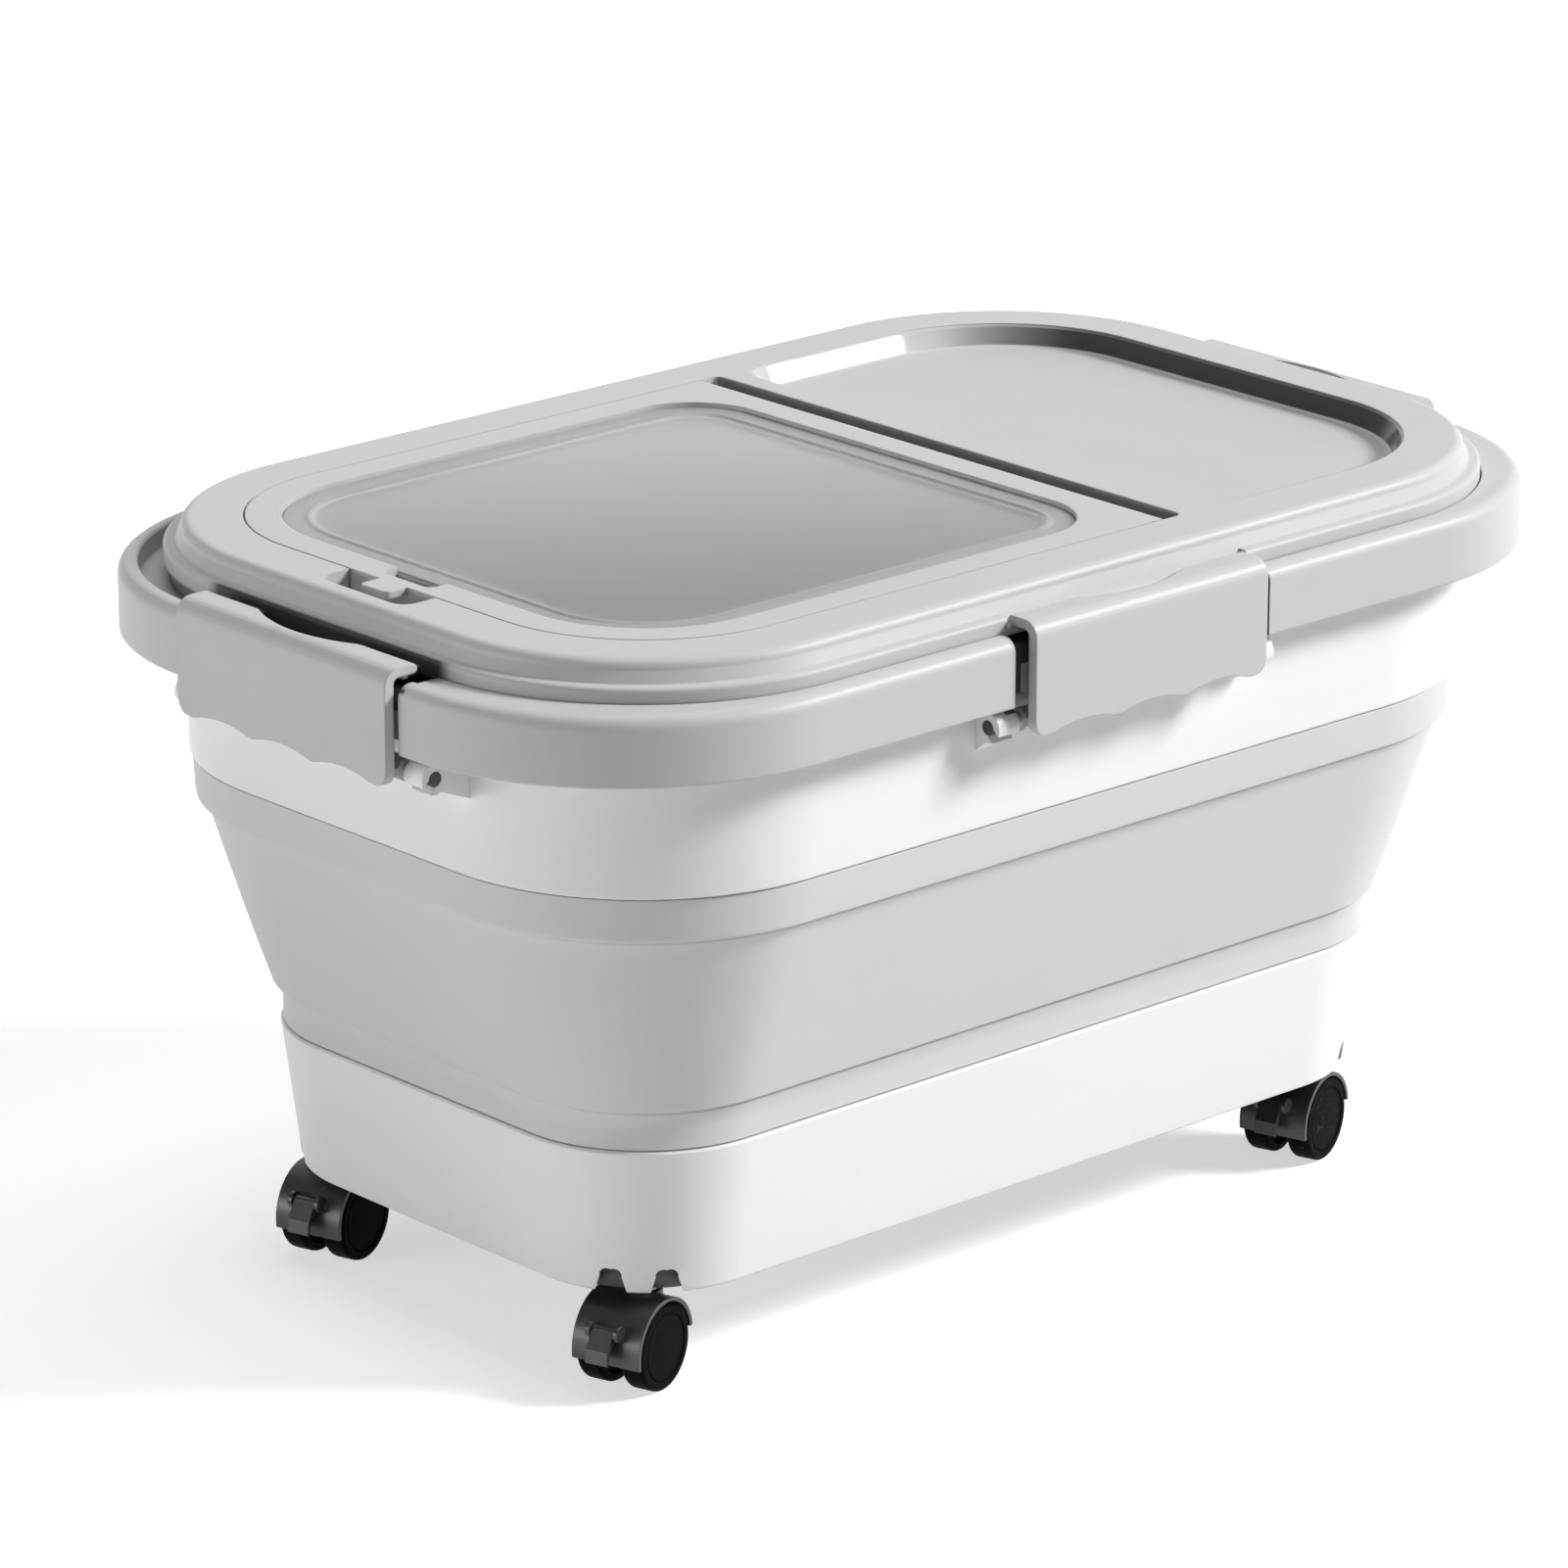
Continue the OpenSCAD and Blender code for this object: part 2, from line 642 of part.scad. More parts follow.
wheel_r = wheel_d / 2;
web_t = 6.4;
wheel_gap = 0.4;
hood_r = wheel_r + 1.7;
hood_top = base_z - 2.2;
stem_r = 2.2;
axle_r = 1.5;
neck_r = 6.2;
hood_width = web_t + 2 * wheel_gap + 2 * wheel_w;
brake_angle = 152;
brake_reach = hood_r + 1.9;
brake_pin_r = 0.9;

module at_caster(c) { translate([c[1] * stem[0], c[2] * stem[1], 0]) rotate(caster_turn) children(); }

// axis along Y through a point of the wheel's plane
module cross(r, h) { rotate([90, 0, 0]) cylinder(r = r, h = h, center = true); }

module caster_stem() {
    color("silver") union() {
        translate([0, 0, hood_top - 8]) cylinder(r = stem_r, h = 8.5);
        translate([0, 0, hood_top + 0.2]) cylinder(r = 5.2, h = base_z - hood_top - 0.2);
        translate([0, 0, base_z - 0.5]) cylinder(r = socket_r, h = socket_top - base_z - 1.5);
    }
}

module caster_hood() {
    brake = [-trail + brake_reach * cos(brake_angle), wheel_r + brake_reach * sin(brake_angle)];
    color([0.2, 0.2, 0.21]) difference() {
        union() {
            difference() {
                translate([-trail, 0, wheel_r]) cross(hood_r, hood_width);
                // room for the wheels, open below
                for (s = [-1, 1]) translate([-trail, s * (web_t / 2 + wheel_w), wheel_r])
                    cross(wheel_r + 0.5, 2 * wheel_w);
                translate([-trail - 30, -hood_width, -5]) cube([60, 2 * hood_width, wheel_r + 2.5]);
                translate([-trail, 0, wheel_r]) rotate([0, -8, 0])
                    translate([0, -hood_width, -30]) cube([40, 2 * hood_width, 30]);
            }
            translate([-trail, 0, wheel_r]) cross(3.6, web_t);
            translate([-trail - 3.6, -web_t / 2, wheel_r]) cube([7.2, web_t, wheel_r]);
            translate([0, 0, hood_top - 9.5]) cylinder(r = neck_r, h = 9.5);
            // ears that hold the brake lever
            for (s = [-1, 1]) translate([brake[0], s * 4.6, brake[1]]) cross(2.4, 1.4);
        }
        // swivel bore, wheel room beside the neck, and the axle's bore
        translate([0, 0, hood_top - 8.2]) cylinder(r = stem_r + pin_clearance, h = 10);
        for (s = [-1, 1]) translate([-trail, s * (web_t / 2 + wheel_w), wheel_r])
            cross(wheel_r + 0.5, 2 * wheel_w);
        translate([-trail, 0, wheel_r]) cross(axle_r + pin_clearance, hood_width + 2);
        translate([brake[0], 0, brake[1]]) cross(brake_pin_r + pin_clearance, 12);
    }
}

module caster_axle() {
    color("silver") translate([-trail, 0, wheel_r]) cross(axle_r, hood_width - 3);
}

// one of the twin wheels, its flat cover outwards (s = -1 towards the nearer long side)
module caster_wheel(s) {
    y0 = web_t / 2 + wheel_gap;
    color([0.09, 0.09, 0.09])
        translate([-trail, 0, wheel_r]) rotate([-90 * s, 0, 0]) translate([0, 0, y0])
            rotate_extrude() polygon(concat(
                [[axle_r + pin_clearance, 0], [4, 0], [4, 1.6], [wheel_r - 2.4, 1.6], [wheel_r - 2.4, 0]],
                arc(wheel_r - 1.2, 1.2, 1.2, -90, 0, 4),
                arc(wheel_r - 1.2, wheel_w - 1.2, 1.2, 0, 90, 4),
                [[wheel_r - 2.6, wheel_w], [wheel_r - 3, wheel_w - 0.5], [axle_r + 0.5, wheel_w - 0.5]],
                [[axle_r + pin_clearance, wheel_w - 1]]
            ));
}

module caster_brake() {
    color([0.14, 0.14, 0.15])
        translate([-trail + brake_reach * cos(brake_angle), 0, wheel_r + brake_reach * sin(brake_angle)]) {
            cross(brake_pin_r, 10.4);
            cross(1.5, 7.6);
            rotate([90, 0, 0]) linear_extrude(7.2, center = true)
                polygon([[-1.5, 0.5], [-4.6, -4.6], [-5.2, -8.4], [-4.2, -8.9], [-3.3, -5], [0, -1.5], [1, 0]]);
        }
}

base_tub();
folding_wall();
upper_ring();
rim();
lid_panel();
lid_seal();
flip_frame();
flip_window();
flip_seal();
flip_hinge_pins();
for (i = [0:3])
    at_side(i) clip();
for (c = corners) {
    name = str("caster_", c[0], "_");
    at_caster(c) caster_stem();
    at_caster(c) caster_hood();
    at_caster(c) caster_axle();
    at_caster(c) caster_wheel(1);
    at_caster(c) caster_wheel(-1);
    at_caster(c) caster_brake();
}
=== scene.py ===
"""Looks of the folding rice bin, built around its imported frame. Metres, Z up, floor at 0."""
import math

import bmesh
import bpy
import numpy as np
from mathutils import Matrix, Vector


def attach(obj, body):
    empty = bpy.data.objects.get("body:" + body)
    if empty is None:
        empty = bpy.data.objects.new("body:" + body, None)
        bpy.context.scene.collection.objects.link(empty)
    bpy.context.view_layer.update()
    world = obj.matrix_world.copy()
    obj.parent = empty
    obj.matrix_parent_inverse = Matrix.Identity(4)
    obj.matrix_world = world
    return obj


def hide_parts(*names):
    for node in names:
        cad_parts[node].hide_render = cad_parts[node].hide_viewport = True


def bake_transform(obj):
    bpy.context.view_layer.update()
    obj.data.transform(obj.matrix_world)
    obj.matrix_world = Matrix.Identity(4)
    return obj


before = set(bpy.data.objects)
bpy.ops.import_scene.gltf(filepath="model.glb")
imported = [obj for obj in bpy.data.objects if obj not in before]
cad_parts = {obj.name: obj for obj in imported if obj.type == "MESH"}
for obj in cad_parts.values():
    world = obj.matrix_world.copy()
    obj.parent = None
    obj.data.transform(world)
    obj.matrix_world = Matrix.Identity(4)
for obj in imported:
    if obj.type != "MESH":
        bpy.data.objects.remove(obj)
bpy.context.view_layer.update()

# ---------------------------------------------------------------- sizes and settings

MM = 0.001

# The camera: its place, its angles in degrees, and its lens in pixels of the square frame.
CAMERA_AT = (-1.48190, -1.60661, 0.86366)
CAMERA_AZIMUTH, CAMERA_ELEVATION, CAMERA_ROLL = -42.3119, 18.5207, 0.0702
FOCAL_PIXELS, IMAGE_PIXELS, SENSOR = 7907.62, 1601, 36.0
NEAREST_SEEN, FARTHEST_SEEN = 0.05, 40

# Lamps: name, place, the point it is aimed at, width and height, watts.
LAMPS = (
    ("key", (6.25, -5.35, 5.55), (0, 0, 0.12), (2.75, 2.3), 1110),
    ("top", (0.1, 0.25, 2.3), (0, 0, 0.2), (1.6, 1.2), 16),
    ("low_left", (-2.1, 0.8, 0.4), (0, 0, 0.14), (1.5, 0.35), 17),
)
ROOM_COLOUR, ROOM_LIGHT = (0.985, 0.99, 1, 1), 0.05
WHITE = (1, 1, 1, 1)
# A black flag behind the bin on the left, that only reflections see: the way to it, the cosines
# at its soft edge, and how dark it is.
FLAG_WAY, FLAG_EDGE, FLAG_DARK = (-0.62, 0.69, 0.37), (0.6, 0.85), 0.9
FLOOR_HALF, FLOOR_COLOUR = 6.0, (0.8, 0.8, 0.8, 1)
# The floor is seen brightened: by 0.6 up to 0.5 m from the middle, rising to 1.0 at 1.8 m.
FLOOR_LIFT = (0.5, 1.8, 0.6, 1.0)

# Outlines from above, in millimetres: low x, high x, half y, then left and right corner radius.
CORE = (-116, 116, 48)                      # the tub's corner centres
WINDOW = (-156.9, 26.5, 89.4, 40.6, 24)     # the window's opening

# Casters, in millimetres and degrees.
STEM = (135, 67)                            # a stem's distance from the middle, across and deep
TRAIL, CASTER_TURN = 5, 17                  # the axle behind its stem, and the angle it stands at
WHEEL_RADIUS, HALF_WEB = 13, 3.6
CORNERS = (("front_left", -1, -1), ("front_right", 1, -1), ("back_right", 1, 1),
           ("back_left", -1, 1))

# Places that the masks mark for painted shade and polish, in millimetres: low, high, and a soft
# edge where it isn't 0.2.
# abs_x and abs_y are distances from the middle, so they take in both sides.
# Painted shade on the walls of the tray and the hinge slot that face left; these walls are also
# polished.
TRAY_WALL = {"x": (52.5, 172, 0.5), "z": (222.5, 228.35)}
TRAY_OUTLINE = (0.054, 0.0535)              # in metres of reach, out to in
HINGE_SLOT = {"x": (43.5, 45.2), "y": (-102, 102), "z": (219.6, 228.3)}
HINGE_SLOT_SHARE = 0.7
FACING_LEFT = (-0.3, -0.8)                  # x of the normals of walls that get painted shade: those that face left
# Painted shade in the gaps round the clips, rim and lid, and on the pins' ends as shade in their
# holes.
BESIDE_SIDE_CLIPS = {"abs_x": (45.3, 50.6, 0.1), "abs_y": (115, 130.3), "z": (194.5, 216.4)}
UNDER_LEFT_CLIP = {"x": (-204.5, -189), "abs_y": (-1, 49), "z": (208.5, 216.4)}
BEHIND_LEFT_CLIP = {"x": (-196.7, -189.8, 0.1), "abs_y": (-5, 51, 2.5), "z": (208.5, 221.9)}
UNDER_SIDE_CLIPS = {"abs_x": (-1, 50.6), "abs_y": (118.5, 129.5), "z": (208.5, 216.4)}
SIDE_PIN_ENDS = {"abs_x": (46.3, 60), "abs_y": (115, 128), "z": (188.4, 193.6)}
END_PIN_ENDS = {"abs_x": (190, 203), "abs_y": (46.3, 60), "z": (188.4, 193.6)}
PAINTED_SHADE_GAPS = (UNDER_LEFT_CLIP, BEHIND_LEFT_CLIP, BESIDE_SIDE_CLIPS, UNDER_SIDE_CLIPS, SIDE_PIN_ENDS,
        END_PIN_ENDS)
# Painted shade under the tub's floor, behind the wall's outer face.
UNDER_FLOOR = {"z": (20, 38.3)}
WALL_LEAN, WALL_FOOT = 0.1222, (0.0347, 0.0343)   # where the painted underside shade starts: reach per height, and reach at the floor
# Painted shade on the pane below its ridge.
PANE_BELOW_RIDGE = {"z": (220, 227)}
PANE_SHADE, PANE_SLANT = 0.257, (-3.74, -5.2, 0)  # share of painted shade at the middle, and its rise per metre

# Marks of use: how strongly a scuff colours, and how much scuffs and smears add to roughness.
SCUFF_COLOUR, SCUFF_ROUGHNESS, SMEAR_ROUGHNESS = 0.5, 0.25, 0.07
# A scuff turns a plastic darker than 0.3 a quarter of the way to white, and keeps 0.9 of others.
DARK_PLASTIC, SCUFF_TO_WHITE, SCUFF_KEEPS = 0.3, 0.25, 0.9
POLISHED_SHARE = 0.2                        # roughness left on a polished wall


# ---------------------------------------------------------------- node helpers


def socket(group, name, kind, out=False, value=None):
    """Adds a named input or output to a group, with its value while nothing is linked."""
    made = group.interface.new_socket(
        name, in_out="OUTPUT" if out else "INPUT", socket_type="NodeSocket" + kind)
    if value is not None:
        made.default_value = value


class Graph:
    """Adds nodes to a tree and links them in one call each."""

    def __init__(self, tree):
        self.tree = tree

    def add(self, kind, inputs=None, **settings):
        """A shader node; an input is linked where its value is a socket, and set otherwise."""
        node = self.tree.nodes.new("ShaderNode" + kind)
        for key, value in settings.items():
            setattr(node, key, value)
        for key, value in (inputs or {}).items():
            if isinstance(value, bpy.types.NodeSocket):
                self.tree.links.new(value, node.inputs[key])
            else:
                node.inputs[key].default_value = value
        return node

    def math(self, operation, a, b=0.0, clamp=False):
        return self.add("Math", {0: a, 1: b}, operation=operation, use_clamp=clamp).outputs[0]

    def vector(self, operation, a, b=(0, 0, 0), output="Vector"):
        return self.add("VectorMath", {0: a, 1: b}, operation=operation).outputs[output]

    def noise(self, vector, scale, detail=2.0, rough=0.5, stretch=None):
        if stretch:
            vector = self.add("Mapping", {"Vector": vector, "Scale": stretch}).outputs[0]
        return self.add("TexNoise", {"Vector": vector, "Scale": scale, "Detail": detail,
                                     "Roughness": rough}).outputs["Fac"]

    def mix(self, factor, a, b):
        """A blend of two colours; 6, 7 and 2 are the colour sockets of a Mix node."""
        return self.add("Mix", {0: factor, 6: a, 7: b}, data_type="RGBA").outputs[2]

    def span(self, value, low, high, out_low=0.0, out_high=1.0):
        return self.add("MapRange", {"Value": value, "From Min": low, "From Max": high,
                                     "To Min": out_low, "To Max": out_high}).outputs["Result"]

    def times(self, first, *others):
        for other in others:
            first = self.math("MULTIPLY", first, other)
        return first

    def within(self, value, low, high, soft=0.2):
        """1 between two places in millimetres, with a soft edge."""
        return self.times(self.span(value, (low - soft) * MM, (low + soft) * MM),
                          self.span(value, (high + soft) * MM, (high - soft) * MM))

    def box(self, at, limits):
        """1 where every named place is within its limits."""
        return self.times(*(self.within(at[name], *limit) for name, limit in limits.items()))


# ---------------------------------------------------------------- camera and room


def aim_camera():
    """The camera's right, up and back vectors come from its azimuth, elevation and roll."""
    az, el, roll = (math.radians(v) for v in (CAMERA_AZIMUTH, CAMERA_ELEVATION, CAMERA_ROLL))
    back = Vector((math.sin(az) * math.cos(el), -math.cos(az) * math.cos(el), math.sin(el)))
    right = (-back).cross(Vector((0, 0, 1))).normalized()
    up = right.cross(-back)
    right, up = (right * math.cos(roll) + up * math.sin(roll),
                 up * math.cos(roll) - right * math.sin(roll))
    data = bpy.data.cameras.new("camera")
    data.sensor_width = SENSOR
    data.lens = FOCAL_PIXELS / IMAGE_PIXELS * SENSOR
    data.clip_start, data.clip_end = NEAREST_SEEN, FARTHEST_SEEN
    camera = bpy.data.objects.new("camera", data)
    bpy.context.scene.collection.objects.link(camera)
    turn = Matrix((right, up, back)).transposed()
    camera.matrix_world = Matrix.Translation(CAMERA_AT) @ turn.to_4x4()
    bpy.context.scene.camera = camera


def area_lamp(name, at, towards, size, watts):
    """A soft rectangular lamp, aimed at a point."""
    data = bpy.data.lights.new(name, "AREA")
    data.shape, data.size, data.size_y = "RECTANGLE", *size
    data.energy = watts
    lamp = bpy.data.objects.new(name, data)
    bpy.context.scene.collection.objects.link(lamp)
    turn = (Vector(at) - Vector(towards)).to_track_quat("Z", "Y").to_matrix().to_4x4()
    lamp.matrix_world = Matrix.Translation(at) @ turn


def seen_directly(g):
    """1 where the camera sees a surface straight, in a reflection or through glass."""
    path = g.add("LightPath")
    straight = g.math("MAXIMUM", path.outputs["Is Camera Ray"], path.outputs["Is Glossy Ray"])
    return g.math("MAXIMUM", straight, path.outputs["Is Transmission Ray"])


def light_room():
    """A large soft key from the right, weak fills, and an even room that is seen as white."""
    for lamp in LAMPS:
        area_lamp(*lamp)
    world = bpy.data.worlds.new("room")
    bpy.context.scene.world = world
    world.use_nodes = True
    nodes, links = world.node_tree.nodes, world.node_tree.links
    fill = nodes["Background"]
    fill.inputs["Color"].default_value = ROOM_COLOUR
    fill.inputs["Strength"].default_value = ROOM_LIGHT
    g = Graph(world.node_tree)
    facing = g.vector("DOT_PRODUCT", g.add("TexCoord").outputs["Generated"], FLAG_WAY, "Value")
    flag = g.times(g.span(facing, *FLAG_EDGE, 0.0, FLAG_DARK),
                   g.add("LightPath").outputs["Is Glossy Ray"])
    seen = g.add("Background", {"Color": WHITE, "Strength": g.math("SUBTRACT", 1.0, flag)})
    mix = g.add("MixShader", {"Fac": seen_directly(g), 1: fill.outputs[0], 2: seen.outputs[0]})
    links.new(mix.outputs[0], nodes["World Output"].inputs["Surface"])


def lay_floor():
    """A pale floor, that the camera sees brightened to the room's white, under the bin's shadow."""
    mesh = bpy.data.meshes.new("floor")
    mesh.from_pydata([(x * FLOOR_HALF, y * FLOOR_HALF, 0)
                      for x, y in ((-1, -1), (1, -1), (1, 1), (-1, 1))], [], [(0, 1, 2, 3)])
    floor = bpy.data.objects.new("floor", mesh)
    bpy.context.scene.collection.objects.link(floor)
    material = bpy.data.materials.new("pale_floor")
    material.use_nodes = True
    shader = material.node_tree.nodes["Principled BSDF"]
    shader.inputs["Base Color"].default_value = FLOOR_COLOUR
    shader.inputs["Roughness"].default_value = 1
    shader.inputs["Specular IOR Level"].default_value = 0
    shader.inputs["Emission Color"].default_value = WHITE
    g = Graph(material.node_tree)
    from_middle = g.vector("LENGTH", g.add("TexCoord").outputs["Object"], output="Value")
    lift = g.times(seen_directly(g), g.span(from_middle, *FLOOR_LIFT))
    material.node_tree.links.new(lift, shader.inputs["Emission Strength"])
    mesh.materials.append(material)


# ---------------------------------------------------------------- shader groups


def new_group(name):
    """An empty group that takes a point, with the graph to fill it, its start and its end."""
    tree = bpy.data.node_groups.new(name, "ShaderNodeTree")
    socket(tree, "Vector", "Vector")
    start, end = tree.nodes.new("NodeGroupInput"), tree.nodes.new("NodeGroupOutput")
    return tree, Graph(tree), start, end


def moulded_skin_group():
    """Fine spark-eroded grain of a moulded face, with a slow flow mottle under it."""
    tree, g, start, end = new_group("moulded_skin")
    socket(tree, "Grain Scale", "Float", value=1800.0)
    socket(tree, "Mottle Scale", "Float", value=14.0)
    for name in ("Height", "Mottle"):
        socket(tree, name, "Float", out=True)
    vector = start.outputs["Vector"]
    fine = g.noise(vector, start.outputs["Grain Scale"], detail=3.0, rough=0.6)
    coarse = g.noise(vector, 260.0)
    height = g.math("ADD", g.times(fine, 0.6), g.times(coarse, 0.4))
    mottle = g.noise(vector, start.outputs["Mottle Scale"], detail=3.0, rough=0.55)
    tree.links.new(height, end.inputs["Height"])
    tree.links.new(g.span(mottle, 0.3, 0.7), end.inputs["Mottle"])
    return tree


def handling_group():
    """Marks of use: hairline scuffs in two directions, and soft smears left by hands."""
    tree, g, start, end = new_group("handling_marks")
    socket(tree, "Amount", "Float", value=0.5)
    for name in ("Scuffs", "Smears"):
        socket(tree, name, "Float", out=True)
    vector, amount = start.outputs["Vector"], start.outputs["Amount"]
    hair = []
    for angle, stretch in ((0.5, (26, 900, 700)), (-0.9, (800, 30, 700))):
        turned = g.add("Mapping", {"Vector": vector, "Rotation": (0.2, 0.1, angle)}).outputs[0]
        line = g.noise(turned, 1.0, detail=1.0, rough=0.4, stretch=stretch)
        hair.append(g.span(line, 0.69, 0.74))
    patch = g.span(g.noise(vector, 22.0), 0.5, 0.66)
    smears = g.noise(vector, 9.0, detail=4.0, rough=0.6, stretch=(1, 1.6, 1))
    tree.links.new(g.times(g.math("MAXIMUM", *hair), patch, amount), end.inputs["Scuffs"])
    tree.links.new(g.times(g.span(smears, 0.42, 0.72), amount), end.inputs["Smears"])
    return tree


def place_masks(name, masks):
    """A group with two masks from a point's place: Shade paints shade into the colour, Gloss lowers
    the roughness.

    Reach, the distance out from the tub's corner centres = length(max(abs(place) - core, 0)),
    where the core is taken as 1 m high, so that height drops out.
    """
    tree, g, start, end = new_group(name)
    socket(tree, "Normal", "Vector")
    for output in ("Shade", "Gloss"):
        socket(tree, output, "Float", out=True)
    place = start.outputs["Vector"]
    size = g.vector("ABSOLUTE", place)
    outside = g.vector("MAXIMUM", g.vector("SUBTRACT", size, (CORE[1] * MM, CORE[2] * MM, 1.0)))
    at = {"reach": g.vector("LENGTH", outside, output="Value"),
          "facing": g.add("SeparateXYZ", {0: start.outputs["Normal"]}).outputs["X"]}
    at["x"], at["y"], at["z"] = g.add("SeparateXYZ", {0: place}).outputs
    at["abs_x"], at["abs_y"], _ = g.add("SeparateXYZ", {0: size}).outputs
    for output, value in masks(g, at).items():
        tree.links.new(value, end.inputs[output])
    return tree


def grey_painted_shade_and_gloss(g, at):
    """Painted shade on the left-facing walls of tray and hinge slot, which are also polished, and
    in the gaps between clips, rim and lid and on the pins' ends.
    """
    tray = g.times(g.box(at, TRAY_WALL), g.span(at["reach"], *TRAY_OUTLINE))
    wall = g.math("MAXIMUM", tray, g.times(g.box(at, HINGE_SLOT), HINGE_SLOT_SHARE))
    shade = g.times(wall, g.span(at["facing"], *FACING_LEFT))
    for gap in PAINTED_SHADE_GAPS:
        shade = g.math("MAXIMUM", shade, g.box(at, gap))
    return {"Shade": shade, "Gloss": wall}


def pane_painted_shade_masks(g, at):
    """Painted shade on the pane below its ridge, darker to its free end and the front.

    Share = 0.257 - 3.74 x - 5.2 y, in metres.
    """
    floor_plan = g.add("CombineXYZ", {0: at["x"], 1: at["y"]}).outputs[0]
    slant = g.vector("DOT_PRODUCT", floor_plan, PANE_SLANT, "Value")
    share = g.math("ADD", slant, PANE_SHADE, clamp=True)
    return {"Shade": g.times(share, g.box(at, PANE_BELOW_RIDGE))}


def white_painted_shade_masks(g, at):
    """Painted shade under the tub's floor behind the wall's outer face, and on the ring beside the
    side clips.

    The outer face is where reach = 34.7 mm + 0.1222 z.
    """
    behind = g.math("SUBTRACT", at["reach"], g.times(at["z"], WALL_LEAN))
    under = g.times(g.span(behind, *WALL_FOOT), g.box(at, UNDER_FLOOR))
    return {"Shade": g.math("MAXIMUM", under, g.box(at, BESIDE_SIDE_CLIPS))}


SKIN, HANDLING = moulded_skin_group(), handling_group()
# Groups of places where shade is painted into the colour.
GREY_PAINTED_SHADE_AND_GLOSS = place_masks("painted_shade_walls_and_gaps", grey_painted_shade_and_gloss)
PANE_PAINTED_SHADE = place_masks("painted_shade_pane", pane_painted_shade_masks)
WHITE_PAINTED_SHADE = place_masks("painted_shade_underside_and_clip_sides", white_painted_shade_masks)


# ---------------------------------------------------------------- materials


def plastic(name, colour, roughness, grain=1800.0, depth=0.00002, mottle=0.03, marks=0.3,
            edge=0.0004, places=None, shaded=None, **shader_values):
    """A moulded material: colour with a slow mottle, grain in the normal, rounded edges, marks.

    The grain is a scale per metre, its depth and the edges' radius are metres, mottle is a share
    of the colour, and marks is how worn it is. A group of places paints shade, turning the colour
    towards the painted shade colour.
    """
    material = bpy.data.materials.new(name)
    material.use_nodes = True
    tree = material.node_tree
    g = Graph(tree)
    shader = tree.nodes["Principled BSDF"]
    coordinates = g.add("TexCoord").outputs
    point = coordinates["Object"]
    skin = g.add("Group", node_tree=SKIN)
    hands = g.add("Group", node_tree=HANDLING)
    for node in (skin, hands):
        tree.links.new(point, node.inputs["Vector"])
    skin.inputs["Grain Scale"].default_value = grain
    hands.inputs["Amount"].default_value = marks
    scuffs, smears = hands.outputs["Scuffs"], hands.outputs["Smears"]
    darker = tuple(c * (1 - mottle) for c in colour) + (1,)
    paler = tuple(min(1, c * (1 + mottle)) for c in colour) + (1,)
    if max(colour) < DARK_PLASTIC:
        scuffed = tuple(c + (1 - c) * SCUFF_TO_WHITE for c in colour) + (1,)
    else:
        scuffed = tuple(c * SCUFF_KEEPS for c in colour) + (1,)
    base = g.mix(skin.outputs["Mottle"], darker, paler)
    base = g.mix(g.times(scuffs, SCUFF_COLOUR), base, scuffed)
    rough = g.math("ADD", g.times(smears, SMEAR_ROUGHNESS), roughness)
    rough = g.math("ADD", rough, g.times(scuffs, SCUFF_ROUGHNESS), clamp=True)
    if places:
        masks = g.add("Group", node_tree=places)
        tree.links.new(point, masks.inputs["Vector"])
        tree.links.new(coordinates["Normal"], masks.inputs["Normal"])
        # Painted shade: the masked places turn towards a dark colour.
        base = g.mix(masks.outputs["Shade"], base, shaded + (1,))
        rough = g.times(rough, g.span(masks.outputs["Gloss"], 0.0, 1.0, 1.0, POLISHED_SHARE))
    rounded = g.add("Bevel", {"Radius": edge}, samples=4).outputs[0]
    normal = g.add("Bump", {"Height": skin.outputs["Height"], "Distance": depth, "Strength": 1.0,
                            "Normal": rounded}).outputs[0]
    for key, value in {"Base Color": base, "Roughness": rough, "Normal": normal}.items():
        tree.links.new(value, shader.inputs[key])
    for key, value in shader_values.items():
        shader.inputs[key].default_value = value
    return material


